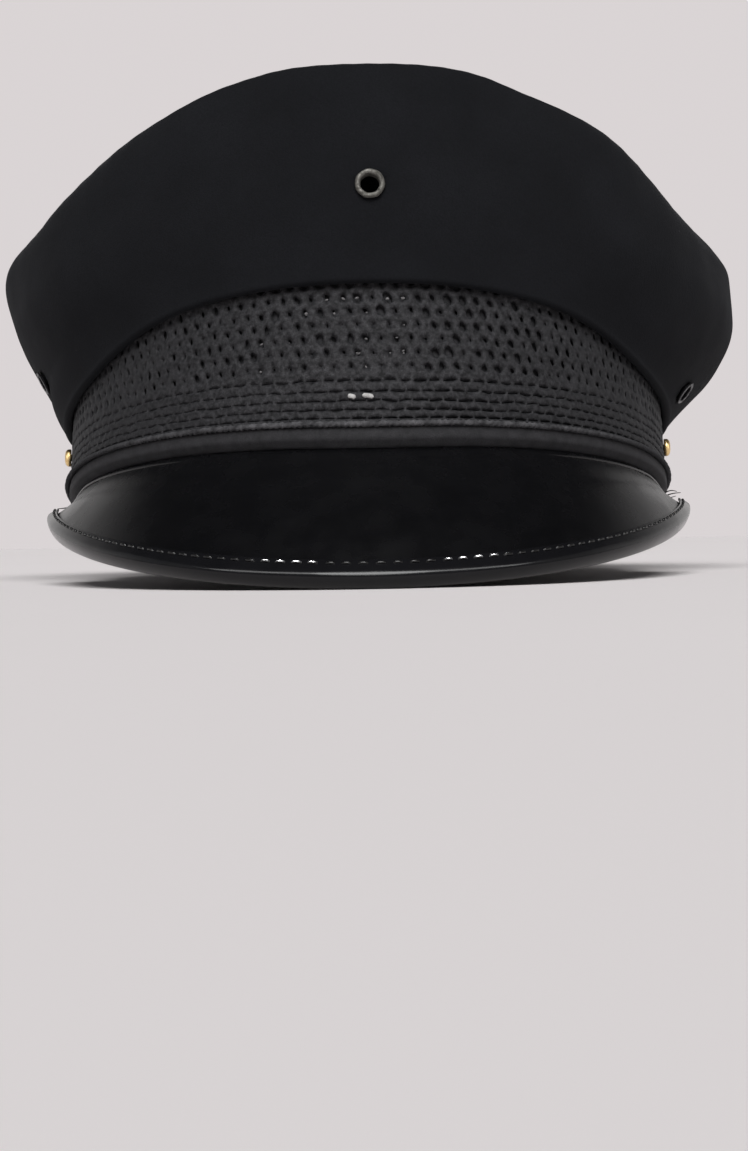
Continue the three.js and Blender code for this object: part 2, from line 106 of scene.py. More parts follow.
# The peak
PEAK_REACH = 75
PEAK_THICKNESS = 2.2
PEAK_TUCK = 3
PEAK_FLANGE_THICKNESS = 1.8
PEAK_START = 0.04
PEAK_BULGE = 1.6
PEAK_BULGE_LENGTH = 40
RIM_HALF_WIDTH = 97
RIM_HALF_LENGTH = 138
RIM_DROP = 37.3
RIM_SLOPE = 0.33
BINDING_THICKNESS = 0.8
BINDING_WIDTH = 5.4
BINDING_SHARE = 0.55
BINDING_FIT = 0.45
BINDING_SINK_END = 0.25
BINDING_ROUND = 2.0
BINDING_DEPTH = PEAK_THICKNESS + 2 * (BINDING_THICKNESS + BINDING_FIT)

# The eyelets and the studs
EYELET_RADIUS = 3.75
EYELET_HOLE = 2.4
EYELET_BARREL = 2.8
EYELET_FLANGE = 0.6
FRONT_EYELET = (1, 64.5, 0.9)
LEFT_VENT = (-77, 39.5, 1.2)
RIGHT_VENT = (76, 32.8, 1.2)
STUD_DIRECTION = 79
STUD_HEIGHT = 15.4
STUD_HEAD_RADIUS = 2.6
STUD_HEAD_DEPTH = 1.9
STUD_SHANK_RADIUS = 1


def cap_place():
    """The turn and the place of the cap's own frame in the row frame. The mount's axis points down
    out of the band's lower edge, and the band's frame is an even ring with a level top."""
    axis = Vector(frame["record"]["mounts"][0]["axis"])
    turn = Matrix.Rotation(math.atan2(axis.y, -axis.z), 3, "X")
    vertices = frame["nodes"]["band_frame"].data.vertices
    band = np.array([turn.transposed() @ vertex.co for vertex in vertices])
    x, y, _ = (band.min(axis=0) + band.max(axis=0)) / 2
    return turn, turn @ Vector((x, y, band[:, 2].max() - FRAME_HEIGHT * MM))


cap_turn, cap_origin = cap_place()


def lerp(start, end, part):
    return start + (end - start) * part


def smooth_step(part):
    part = np.clip(part, 0, 1)
    return part * part * (3 - 2 * part)


def unit(vectors):
    return vectors / np.linalg.norm(vectors, axis=-1, keepdims=True)


def oval_point(direction, out, height):
    """Points on the band's oval in some directions, moved out along its normal, at some heights."""
    turn = np.radians(direction)
    across = np.sin(turn) / BAND_HALF_WIDTH
    forward = -np.cos(turn) / BAND_HALF_LENGTH
    size = np.hypot(across, forward)
    x = BAND_HALF_WIDTH * np.sin(turn) + out * across / size
    y = -BAND_HALF_LENGTH * np.cos(turn) + out * forward / size
    return np.stack(np.broadcast_arrays(x, y, height), axis=-1)


def band_face(height):
    return -BAND_LEAN * height / FRAME_HEIGHT


def way_along(line):
    """The way from the first point of a line to each of its points."""
    return np.concatenate([[0], np.cumsum(np.linalg.norm(np.diff(line, axis=0), axis=1))])


oval_directions = np.linspace(-180, 180, 3601)
oval_way = way_along(oval_point(oval_directions, 0, 0))
whole_way = oval_way[-1]


def direction_at(way):
    """The direction of a place that lies so far round the oval from the middle of the front."""
    return np.interp((way + whole_way / 2) % whole_way, oval_way, oval_directions)


def even_ways(count):
    return np.arange(count) / count * whole_way


def section_value(direction, column):
    """One value of the sections in any direction, by a smooth curve through their rows."""
    rows = np.array(CAP_SECTIONS, float)
    at = rows[:, 0]
    value = rows[:, SECTION_COLUMNS.index(column)]
    wide_at = np.pad(at, 1, "reflect", reflect_type="odd")
    wide_value = np.pad(value, 1, "reflect")
    slope = (wide_value[2:] - wide_value[:-2]) / (wide_at[2:] - wide_at[:-2])
    place = np.abs((direction + 180) % 360 - 180)
    index = np.clip(np.searchsorted(at, place, side="right") - 1, 0, len(at) - 2)
    span = at[index + 1] - at[index]
    part = (place - at[index]) / span
    leaving = part * (1 - part) ** 2 * span * slope[index]
    arriving = part * part * (1 - part) * span * slope[index + 1]
    return lerp(value[index], value[index + 1], smooth_step(part)) + leaving - arriving


def band_point(direction, out, height):
    """Points of the band: so far out of the oval and so high in a band with a level lower edge."""
    rise = section_value(direction, "rise") * (1 - height / FRAME_HEIGHT)
    return oval_point(direction, out, height + rise)


def dent_depth(direction, height):
    depth = 0
    for at, middle, half_angle, half_height, deepest in CROWN_DENTS:
        across = ((direction - at + 180) % 360 - 180) / half_angle
        up = (height - middle) / half_height
        depth = depth + deepest * np.exp(-(across**2 + up**2))
    return depth


def crown_point(direction, along):
    """The middle of the crown's cloth. The second value runs from 0 at the seam inside the fold to
    1 where the cloth leaves the fold, 2 at the widest place, 3 at the top seam and 4 at the centre."""
    direction, along = np.broadcast_arrays(np.asarray(direction, float), np.asarray(along, float))
    fold = section_value(direction, "fold")
    wide_out = section_value(direction, "wide_out")
    wide_height = section_value(direction, "wide_height")
    fold_face = FOLD_START + band_face(fold)
    leaf_height = lerp(SEAM_HEIGHT, fold + FOLD_RADIUS, along * 2)
    bend = (along - 0.5) * 2 * np.pi
    part = np.clip(along - 1, 0, 1)
    wall_height = lerp(fold + FOLD_RADIUS, wide_height, part)
    swell = np.sin(np.pi / 2 * np.minimum(1, part / FLARE_END) ** FLARE_POWER)
    wall_out = lerp(fold_face + 2 * FOLD_RADIUS, wide_out, swell)
    wall_out = wall_out + dent_depth(direction, wall_height) * np.minimum(1, part / DENT_START)
    full_turn = math.radians(SHOULDER_TURN)
    turn = full_turn * np.clip(along - 2, 0, 1)
    round_up = (section_value(direction, "edge_height") - wide_height) / math.sin(full_turn)
    round_in = section_value(direction, "edge_in") / (1 - math.cos(full_turn))
    shoulder_height = wide_height + round_up * np.sin(turn)
    shoulder_out = wide_out - round_in * (1 - np.cos(turn)) + dent_depth(direction, shoulder_height)
    where = [along < 0.5, along < 1, along < 2]
    out = np.select(
        where,
        [FOLD_START + band_face(leaf_height), fold_face + FOLD_RADIUS * (1 - np.cos(bend)), wall_out],
        shoulder_out,
    )
    height = np.select(
        where, [leaf_height, fold + FOLD_RADIUS * (1 - np.sin(bend)), wall_height], shoulder_height
    )
    wall = oval_point(direction, out, height)
    inward = np.clip(along - 3, 0, None)[..., None]
    lift = TOP_LIFT * (1 - np.exp(-inward / TOP_LIFT_REACH) - inward)
    return lerp(wall, np.array(TOP_CENTRE), inward) + lift * np.array([0, 0, 1])


def crown_normal(direction, along):
    turn_step = 0.5
    along_step = 0.01
    sideways = crown_point(direction + turn_step, along) - crown_point(direction - turn_step, along)
    upward = crown_point(direction, along + along_step) - crown_point(direction, along - along_step)
    return unit(np.cross(sideways, upward))


def rim_point(direction):
    turn = np.radians(direction)
    y = -RIM_HALF_LENGTH * np.cos(turn)
    return np.stack([RIM_HALF_WIDTH * np.sin(turn), y, -RIM_DROP + RIM_SLOPE * (y + RIM_HALF_LENGTH)], -1)


def peak_axes(direction):
    """The peak's own directions: where it leaves the band, how far its rim is, the way down to the
    rim and the way out of its upper face."""
    start = band_point(direction, BORDER_STEP - BORDER_ROUND, -FIT)
    run = rim_point(direction) - start
    length = np.linalg.norm(run, axis=-1)
    down = run / length[..., None]
    level = unit(np.stack([down[..., 1], -down[..., 0], np.zeros_like(length)], -1))
    face = np.cross(down, level)
    face = face * np.sign(face[..., 2:3])
    return start, length, down, unit(face)


def peak_point(direction, distance, depth):
    """A point of the peak: so far from the band along its slope, and so far under its upper face."""
    start, length, down, face = peak_axes(direction)
    bulge = PEAK_BULGE * np.minimum(1, length / PEAK_BULGE_LENGTH)
    bulge = bulge * np.sin(np.pi * np.minimum(1, distance / length))
    return start + down * distance[..., None] + face * (bulge - depth)[..., None]


def bound_width(length):
    return np.minimum(BINDING_WIDTH, length * BINDING_SHARE)


# Building meshes

# Every piece of the cap, in the order that they are made
cap_pieces = []


def add_object(name, data):
    thing = bpy.data.objects.new(name, data)
    bpy.context.scene.collection.objects.link(thing)
    return thing


class Shape:
    """The closed forms of one piece, in the cap's frame."""

    def __init__(self):
        self.points = []
        self.faces = []
        self.count = 0

    def add(self, points, faces):
        """Adds a closed form, with its faces turned over if they face into it."""
        points = points.reshape(-1, 3)
        volume = 0
        for group in faces:
            corners = points[group]
            for i in range(1, corners.shape[1] - 1):
                cross = np.cross(corners[:, i], corners[:, i + 1])
                volume += np.einsum("ij,ij->", corners[:, 0], cross)
        for group in faces:
            self.faces.extend((group[:, :: 1 if volume >= 0 else -1] + self.count).tolist())
        self.points.append(points)
        self.count += len(points)
        return self

    def piece(self, name, materials, slot, *replaced, looks=()):
        """The Blender object, in metres in the row frame, riding on the cap's only body. Looks are the
        places of the faces' materials, if there is more than one."""
        points = np.concatenate(self.points) * MM
        points = points @ np.array(cap_turn).T + np.array(cap_origin)
        mesh = bpy.data.meshes.new(name)
        mesh.from_pydata(points.tolist(), [], self.faces)
        for material in materials:
            mesh.materials.append(material)
        if looks:
            mesh.polygons.foreach_set("material_index", looks)
        mesh.polygons.foreach_set("use_smooth", [True] * len(mesh.polygons))
        mesh.update()
        thing = add_object(name, mesh)
        cap_pieces.append(thing)
        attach(thing, "root")
        if replaced:
            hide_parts(*replaced)
        return thing


def grid_faces(rows, columns, wrap_rows=1, wrap_columns=1):
    """The four-cornered faces of a grid of points, row by row."""
    index = np.arange(rows * columns).reshape(rows, columns)
    index = np.pad(index, ((0, wrap_rows), (0, wrap_columns)), "wrap")
    corners = [index[:-1, :-1], index[1:, :-1], index[1:, 1:], index[:-1, 1:]]
    return np.stack(corners, axis=-1).reshape(-1, 4)


def ring(shape, sections):
    """Adds a closed ring: sections is a grid of points, directions by places round the section."""
    return shape.add(sections, [grid_faces(*sections.shape[:2])])


def capped(shape, sections):
    """Adds a closed bar through sections, with each end closed by a fan round its middle."""
    rows, columns = sections.shape[:2]
    size = rows * columns
    points = np.concatenate([sections.reshape(-1, 3), sections[[0, -1]].mean(axis=1)])
    around = np.arange(columns)
    after = (around + 1) % columns
    first_fan = np.stack([after, around, np.full(columns, size)], -1)
    last_fan = np.stack([around, after, np.full(columns, columns + 1)], -1) + size - columns
    return shape.add(points, [grid_faces(rows, columns, 0), first_fan, last_fan])


def even_turns(count):
    """Even turns round a circle, as a column."""
    return (np.arange(count) * 2 * np.pi / count)[:, None]


def tube(shape, path, radius, sides=8, squash=1, outward=(0.3, 0.2, 1)):
    """Adds a tube along a path, flattened by squash in the outward direction."""
    along = unit(np.gradient(path, axis=0))
    side = unit(np.cross(along, outward))
    up = unit(np.cross(side, along))
    radius = np.broadcast_to(radius, len(path))[:, None, None]
    turn = even_turns(sides)
    across = side[:, None] * np.cos(turn)
    upward = up[:, None] * np.sin(turn) * squash
    return capped(shape, path[:, None] + radius * (across + upward))


def rounded_ends(count, radius):
    """Radii along a tube that close it roundly at both ends."""
    part = np.linspace(-1, 1, count)
    return radius * np.sqrt(np.clip(1 - np.abs(part) ** 6, 0.05, 1))


def lathe(shape, profile, place, axis, segments, wobble=0):
    """Adds a closed profile of radii and heights, turned round an axis at a place."""
    profile = np.array(profile, float)
    axis = unit(axis)
    side = unit(np.cross([0, 0, 1.0], axis))
    up = np.cross(axis, side)
    turn = even_turns(segments)
    radius = profile[:, 0] * (1 + wobble * np.cos(7 * turn + 0.4))
    outward = (np.cos(turn) * side + np.sin(turn) * up)[:, None]
    return ring(shape, place + radius[..., None] * outward + profile[:, 1:] * axis)


def rounded(corners, radius, steps=5):
    """A closed line of points through corners, each corner rounded off by its own radius."""
    corners = np.array(corners, float)
    radius = np.broadcast_to(radius, len(corners))
    part = np.linspace(0, 1, steps)[:, None]
    line = []
    for index, corner in enumerate(corners):
        sides = corners[index - 1] - corner, corners[(index + 1) % len(corners)] - corner
        lengths = [np.linalg.norm(side) for side in sides]
        reach = min(radius[index], min(lengths) * 0.45)
        start, end = [corner + side / length * reach for side, length in zip(sides, lengths)]
        line.append((1 - part) ** 2 * start + 2 * part * (1 - part) * corner + part**2 * end)
    return np.concatenate(line)


def filled(line, spacing):
    """A closed line of points with more points wherever two of them lie further than the spacing."""
    dense = []
    for point, after in zip(line, np.roll(line, -1, axis=0)):
        pieces = max(1, math.ceil(np.linalg.norm(after - point) / spacing))
        dense.extend(point + (after - point) * step / pieces for step in range(pieces))
    return np.array(dense)


def stops(start, *stretches):
    """Places along a line from its start: each stretch gives its end and its number of even steps."""
    places = [start]
    for end, steps in stretches:
        places.extend(np.linspace(places[-1], end, steps + 1)[1:])
    return np.array(places)


# Materials

LINT_COLOUR = (0.09, 0.09, 0.095)
SCRATCH_DEPTH = 0.00002
# The braid's and the cord's colour darkens from front to back between these two places: painted shade,
# standing in for the light that falls off toward the sides
SIDE_SHADE_ENDS = (-0.115, -0.06)


class Paint:
    """The shader nodes of a material or of the sky."""

    def __init__(self, thing):
        thing.use_nodes = True
        self.thing = thing
        self.nodes = thing.node_tree.nodes

    def fill(self, socket, value):
        """Links another node's socket to a socket, or sets its number or colour."""
        if isinstance(value, bpy.types.NodeSocket):
            self.thing.node_tree.links.new(value, socket)
        elif socket.type == "RGBA":
            socket.default_value = (*value, 1)
        else:
            socket.default_value = value

    def node(self, kind, inputs, **settings):
        """A new node with its settings, and its inputs filled by name or number."""
        node = self.nodes.new("ShaderNode" + kind)
        for key, value in settings.items():
            setattr(node, key, value)
        for key, value in inputs.items():
            self.fill(node.inputs[key], value)
        return node

    def texture(self, kind, inputs, stretch=(1, 1, 1), **settings):
        """A texture over the object's own coordinates."""
        place = self.node("TexCoord", {}).outputs["Object"]
        mapping = self.node("Mapping", {"Vector": place, "Scale": stretch})
        return self.node("Tex" + kind, {"Vector": mapping.outputs["Vector"], **inputs}, **settings)

    def clouds(self, scale, detail, stretch=(1, 1, 1)):
        return self.texture("Noise", {"Scale": scale, "Detail": detail}, stretch).outputs["Fac"]

    def axis(self, space, name):
        """One coordinate of a place, in the object's own space or in the sky's."""
        place = self.node("TexCoord", {}).outputs[space]
        return self.node("SeparateXYZ", {"Vector": place}).outputs[name]

    def spread(self, source, low, high, start, end):
        """A value taken from the range between start and end to the one between low and high."""
        inputs = {"Value": source, "From Min": start, "From Max": end, "To Min": low, "To Max": high}
        return self.node("MapRange", inputs).outputs["Result"]

    def math(self, operation, first, second):
        return self.node("Math", {0: first, 1: second}, operation=operation).outputs["Value"]

    def mix(self, factor, first, second):
        """One colour mixed into another."""
        return self.node("Mix", {"Factor": factor, 6: first, 7: second}, data_type="RGBA").outputs[2]

    def finish(self, looks, *bumps):
        """The material, with its main shader's inputs filled. Its bumps lie one on another, the lowest
        first, each with a height, a depth in metres and a strength."""
        shader = self.nodes["Principled BSDF"]
        for name, value in looks.items():
            self.fill(shader.inputs[name], value)
        above = shader.inputs["Normal"]
        for height, depth, strength in reversed(bumps):
            bump = self.node("Bump", {"Height": height, "Distance": depth, "Strength": strength})
            self.fill(above, bump.outputs["Normal"])
            above = bump.inputs["Normal"]
        return self.thing


def scaled(colour, times):
    return tuple(value * times for value in colour)


def fabric(name, dark, light, patch_scale, thread_scale, depth, sheen, roughness=0.95, lint=0, fade=0):
    """Cloth or thread: two near colours in soft patches, fine thread grain, sheen and a little lint.
    Fade is the dark colour's share at the sides and back: painted shade, darker where less light falls."""
    paint = Paint(bpy.data.materials.new(name))
    patches = paint.clouds(patch_scale, 6)
    grain = paint.clouds(thread_scale, 3)
    slant = paint.clouds(thread_scale * 0.6, 2, (1, 1, 0.35))
    colour = paint.mix(paint.spread(patches, 0, 1, 0.3, 0.7), dark, light)
    colour = paint.mix(paint.spread(grain, 0.55, 0, 0.35, 0.65), colour, scaled(dark, 0.55))
    # Painted shade: toward the sides and back the colour is mixed into the dark one, where less light
    # falls
    if fade:
        side = paint.spread(paint.axis("Object", "Y"), 0, fade, *SIDE_SHADE_ENDS)
        colour = paint.mix(side, colour, dark)
    if lint:
        specks = paint.texture("Voronoi", {"Scale": 210, "Randomness": 1})
        near = paint.spread(specks.outputs["Distance"], 1, 0, 0.03, 0.07)
        red = paint.node("SeparateColor", {"Color": specks.outputs["Color"]}).outputs["Red"]
        chosen = paint.math("GREATER_THAN", red, 1 - lint)
        colour = paint.mix(paint.math("MULTIPLY", near, chosen), colour, LINT_COLOUR)
    looks = {
        "Base Color": colour,
        "Roughness": roughness,
        "Specular IOR Level": 0.12,
        "Sheen Weight": sheen,
        "Sheen Roughness": 0.45,
        "Sheen Tint": (0.75, 0.78, 0.85),
    }
    return paint.finish(looks, (grain, depth, 0.6), (slant, depth, 0.5))


def leather(name, colour, roughness, grain_depth, wave_depth, specular=0.5):
    """Smooth black leather: a fine grain, a slow unevenness and a satin that varies a little."""
    paint = Paint(bpy.data.materials.new(name))
    grain = paint.texture("Voronoi", {"Scale": 1500}, feature="SMOOTH_F1").outputs["Distance"]
    fine = paint.clouds(4200, 2)
    slow = paint.clouds(55, 2)
    patches = paint.clouds(120, 5)
    looks = {
        "Base Color": paint.mix(patches, colour, scaled(colour, 1.7)),
        "Roughness": paint.spread(patches, roughness * 0.85, roughness * 1.2, 0.3, 0.7),
        "Specular IOR Level": specular,
    }
    return paint.finish(looks, (slow, wave_depth, 1), (grain, grain_depth, 0.5), (fine, grain_depth, 0.4))


def metal(name, colour, worn, roughness, wear=0.5):
    """Metal with duller worn patches and fine scratches."""
    paint = Paint(bpy.data.materials.new(name))
    patches = paint.clouds(900, 5)
    scratches = paint.clouds(2500, 3, (1, 1, 6))
    looks = {
        "Base Color": paint.mix(paint.spread(patches, 0, wear, 0.4, 0.65), colour, worn),
        "Roughness": paint.spread(patches, roughness, roughness * 1.8, 0.4, 0.65),
        "Metallic": 1,
    }
    return paint.finish(looks, (scratches, SCRATCH_DEPTH, 0.5))


crown_cloth = fabric(
    "crown_wool", (0.0077, 0.0081, 0.0097), (0.0113, 0.0119, 0.0143), 45, 2600, 0.00012, 0.02, lint=0.02
)
# The braid's fade is painted shade at its sides and back
braid_thread = fabric(
    "braid_thread", (0.012, 0.012, 0.013), (0.077, 0.076, 0.082), 950, 3800, 0.00015, 0.03, 0.6, fade=0.6
)
border_ribbon = fabric(
    "border_ribbon", (0.028, 0.028, 0.03), (0.046, 0.045, 0.049), 420, 3600, 0.00012, 0.03, 0.7
)
# The cord's fade is painted shade at its sides and back
cord_yarn = fabric(
    "cord_yarn", (0.028, 0.028, 0.03), (0.19, 0.186, 0.197), 420, 5200, 0.0001, 0.05, 0.8, fade=0.9
)
tack_thread = fabric("tack_thread", (0.5, 0.49, 0.48), (0.7, 0.69, 0.68), 700, 5000, 0.00008, 0.2, 0.7)
# Painted light: a pale colour for the lumps in the braid's openings, standing in for light seen through
# them
glimpsed_light = fabric("painted_light_specks", (0.09, 0.088, 0.09), (0.3, 0.29, 0.295), 700, 5000, 0.00008, 0.2, 0.7)
peak_leather = leather("peak_leather", (0.003, 0.003, 0.0035), 0.26, 0.000015, 0.00012, 0.4)
binding_leather = leather("binding_leather", (0.003, 0.003, 0.0035), 0.17, 0.000012, 0.0002, 0.26)
sweat_leather = leather("sweat_leather", (0.014, 0.0125, 0.0115), 0.5, 0.00004, 0.0003)
thread = leather("peak_thread", (0.005, 0.005, 0.0053), 0.32, 0.00001, 0.00002, 0.6)
nickel = metal("worn_nickel", (0.21, 0.205, 0.19), (0.13, 0.125, 0.11), 0.55)
dark_enamel = metal("dark_enamel", (0.016, 0.016, 0.018), (0.05, 0.05, 0.053), 0.5)
worn_rim = metal("worn_rim", (0.2, 0.2, 0.205), (0.05, 0.05, 0.053), 0.42)
brass = metal("polished_brass", (0.9, 0.66, 0.32), (0.6, 0.39, 0.15), 0.26, 0.35)


# The crown

CROWN_HOLES = (FRONT_EYELET, LEFT_VENT, RIGHT_VENT)
# How far from an eyelet's axis, and from its middle along the axis, the cloth gives way to its barrel
EYELET_REACH = 3.9
EYELET_DEPTH = 6


def eyelet_place(eyelet):
    """The middle of the cloth at an eyelet, found by halving the wall, and the way out of the cloth."""
    direction, height, _ = eyelet
    low, high = 1, 3
    for _ in range(24):
        middle = (low + high) / 2
        if crown_point(direction, middle)[2] < height:
            low = middle
        else:
            high = middle
    return crown_point(direction, low), crown_normal(direction, low)


# The soft cloth's swells: how wide and how deep they are, and how far from the seam they fade
CLOTH_SWELLS = ((34, 0.75), (13, 0.28), (5.2, 0.07))
SWELL_FADE = 10


def softness(points, seed):
    """Small uneven moves of soft cloth at each point."""
    shift = Vector((seed * 7.3, seed * 3.1, seed * 5.7))
    moves = 0
    for index, (width, depth) in enumerate(CLOTH_SWELLS):
        places = [Vector(point) / width + shift * (index + 1) for point in points.reshape(-1, 3)]
        moves = moves + depth * np.array([noise.noise(place) for place in places])
    return moves.reshape(points.shape[:-1])


def edge_round(distance):
    """Half the cloth's thickness at a distance from a cut edge, which is rounded."""
    part = np.clip(distance / (CLOTH / 2), 0, 1)
    return CLOTH / 2 * np.sqrt(np.clip(part * (2 - part), 0.02, 1))


def crown_directions():
    """Even directions round the cap, with finer ones at the seam behind."""
    even = np.arange(0, 360, 1.0)
    seam = np.array([0.15, 0.3, 0.5, 0.75, 1.4])
    return np.sort(np.concatenate([even[np.abs(even - 180) != 1], 180 - seam, 180 + seam]))


def back_seam(direction, height):
    """The groove of the seam down the middle of the back, with a slight pucker beside it."""
    way = np.radians(direction - 180) * (BAND_HALF_WIDTH + 15)
    groove = -0.55 * np.exp(-((way / 0.55) ** 2))
    pucker = 0.16 * np.exp(-((way / 6) ** 2)) * np.sin(height * 1.15)
    return groove + pucker


def top_seam_pucker(direction, distance):
    """Shallow ripples that fade away from the top seam."""
    ripple = 0.13 * np.sin(np.radians(direction) * 92)
    return ripple * np.exp(-distance / 4) * np.minimum(1, distance / 1.5)


def round_an_axis(points, place, axis):
    """The way to each point from an axis through a place, its length, and the way along the axis."""
    away = points - place
    along = away @ axis
    outward = away - along[..., None] * axis
    return outward, np.linalg.norm(outward, axis=-1), along


def cell_edges(cells):
    return {tuple(edge) for i in range(4) for edge in cells[:, [i, (i + 1) % 4]].tolist()}


def crown_wall():
    turn = crown_directions()[:, None]
    along = stops(0, (0.5, 5), (1, 11), (2, 43), (2.94, 21), (3, 6))[None, :]
    middle = crown_point(turn, along)
    normal = crown_normal(turn, np.minimum(along, 2.985))
    to_edge = np.linalg.norm(middle - middle[:, -1:], axis=-1)
    free = np.clip((along - 1) * 5, 0, 1) * np.clip(to_edge / SWELL_FADE, 0, 1)
    move = softness(middle, 1) * free
    move = move + back_seam(turn, middle[..., 2]) * np.clip((along - 0.5) * 3, 0, 1)
    move = move + top_seam_pucker(turn, to_edge)
    middle = middle + normal * move[..., None]
    half = edge_round(np.where(along > 2.5, to_edge, CLOTH))[..., None]
    layers = np.stack([middle + normal * half, middle - normal * half])
    rows, columns = middle.shape[:2]
    cell_middle = (middle[:, :-1] + middle[:, 1:]) / 2
    cell_middle = (cell_middle + np.roll(cell_middle, -1, axis=0)) / 2
    open_cells = np.ones((rows, columns - 1), bool)
    for eyelet in CROWN_HOLES:
        place, axis = eyelet_place(eyelet)
        for layer in layers:
            outward, radius, depth = round_an_axis(layer, place, axis)
            near = (radius < EYELET_REACH) & (np.abs(depth) < EYELET_DEPTH)
            push = (np.maximum(radius, EYELET_BARREL + FIT) - radius) / np.maximum(radius, 1e-6)
            layer[near] += (outward * push[..., None])[near]
        _, radius, depth = round_an_axis(cell_middle, place, axis)
        open_cells &= ~((radius < EYELET_BARREL + FIT) & (np.abs(depth) < EYELET_DEPTH))
    size = rows * columns
    cells = grid_faces(rows, columns, 1, 0)
    cells, cut = cells[open_cells.ravel()], cells[~open_cells.ravel()]
    around = np.arange(rows)
    lower = np.stack([around, np.roll(around, -1)], -1) * columns
    upper = lower + columns - 1
    hems = [
        np.concatenate([lower[:, ::-1], lower + size], -1),
        np.concatenate([upper, upper[:, ::-1] + size], -1),
    ]
    rims = sorted(cell_edges(cells) & {(a, b) for b, a in cell_edges(cut)})
    barrels = np.array([(b, a, a + size, b + size) for a, b in rims])
    shape = Shape().add(layers, [cells, cells[:, ::-1] + size, *hems, barrels])
    return shape.piece("crown_side_cloth", [crown_cloth], "crown_cloth", "crown_side")


# The column of the top panel's points whose plane the panel's middle is levelled to
LEVEL_COLUMN = 36


def plane_height(grid, column):
    """The heights, over all of a grid's points, of the plane that fits one of its columns best."""
    line = grid[:, column]
    slopes = np.linalg.lstsq(np.c_[line[:, :2], np.ones(len(line))], line[:, 2], rcond=None)[0]
    return grid[..., :2] @ slopes[:2] + slopes[2]


def crown_top():
    turn = crown_directions()[:, None]
    inward = stops(0, (0.03, 6), (0.985, 51))
    middle = crown_point(turn, 3 + inward[None, :])
    normal = crown_normal(turn, np.maximum(3 + inward[None, :], 3.015))
    from_edge = np.linalg.norm(middle - middle[:, :1], axis=-1)
    flatness = smooth_step((inward - 0.5) / 0.4)
    middle[..., 2] = lerp(middle[..., 2], plane_height(middle, LEVEL_COLUMN), flatness)
    free = np.clip(from_edge / SWELL_FADE, 0, 1)
    move = 1.3 * softness(middle, 2) * free + top_seam_pucker(turn, from_edge)
    middle = middle + normal * move[..., None]
    half = edge_round(from_edge)[..., None]
    layers = np.stack([middle + normal * half, middle - normal * half])
    points = np.concatenate([layers.reshape(-1, 3), layers[:, :, -1].mean(axis=1)])
    rows, columns = middle.shape[:2]
    size = rows * columns
    cells = grid_faces(rows, columns, 1, 0)
    around = np.arange(rows)
    lower = np.stack([around, np.roll(around, -1)], -1) * columns
    inmost = lower + columns - 1
    faces = [
        cells,
        cells[:, ::-1] + size,
        np.concatenate([lower[:, ::-1], lower + size], -1),
        np.concatenate([inmost, np.full((rows, 1), 2 * size)], -1),
        np.concatenate([inmost[:, ::-1] + size, np.full((rows, 1), 2 * size + 1)], -1),
    ]
    return Shape().add(points, faces).piece("crown_top_cloth", [crown_cloth], "crown_cloth", "crown_top")


crown_wall()
crown_top()


# The band


def band_frame():
    wall = -BRAID_THICKNESS - FIT
    top = wall + band_face(FRAME_HEIGHT)
    corners = [
        (wall - FRAME_THICKNESS, 0),
        (BORDER_STEP - BORDER_ROUND, 0),
        (BORDER_STEP, BORDER_ROUND),
        (BORDER_STEP, BORDER_HEIGHT),
        (wall + band_face(BORDER_HEIGHT), BORDER_HEIGHT),
        (top, FRAME_HEIGHT),
        (top - FRAME_THICKNESS, FRAME_HEIGHT),
    ]
    section = filled(rounded(corners, 0.7), 1.6)
    directions = direction_at(even_ways(420))
    shape = ring(Shape(), band_point(directions[:, None], section[:, 0], section[:, 1]))
    return shape.piece("band_frame_ribbon", [border_ribbon], "border_cloth", "band_frame")


# The rows of the braid's holes: the height of the row, half the width and half the height of a hole,
# and how far the row is closed in the middle of the front
BRAID_ROWS = (
    (5.7, 0.9, 0.06, 0),
    (7.0, 1.8, 0.13, 0),
    (9.1, 1.8, 0.15, 0),
    (11.4, 1.8, 0.15, 0),
    (13.8, 1.75, 0.16, 0),
    (16.5, 1.5, 0.2, 0),
    (20.0, 0.95, 1.0, 0.6),
    (23.6, 0.9, 1.25, 0.4),
    (27.1, 0.9, 1.3, 0),
    (30.6, 0.9, 1.3, 0.75),
    (34.1, 0.9, 1.3, 0.15),
    (37.6, 0.9, 1.25, 0),
    (41.3, 1.6, 1.0, 0),
    (42.75, 0.7, 0.06, 0),
)
BRAID_COLUMNS = 161
BRAID_PITCH = whole_way / BRAID_COLUMNS
BRAID_LEAN = 0.33
# How far out a web's edge, shoulder, hole and back are
BRAID_LEVELS = (0.1, 0.02, -0.62, -BRAID_THICKNESS + 0.08)
# Holes and ribs are deepest at these ways from the middle of the front; far away they close to a share
BRAID_OPEN_WAY = 14
RIB_OPEN_WAY = 32
BRAID_OPEN_REACH = 48
BRAID_CLOSED_REACH = 21
BRAID_SIDE_SHARE = 0.38
RIB_HALF_HEIGHT = 0.4


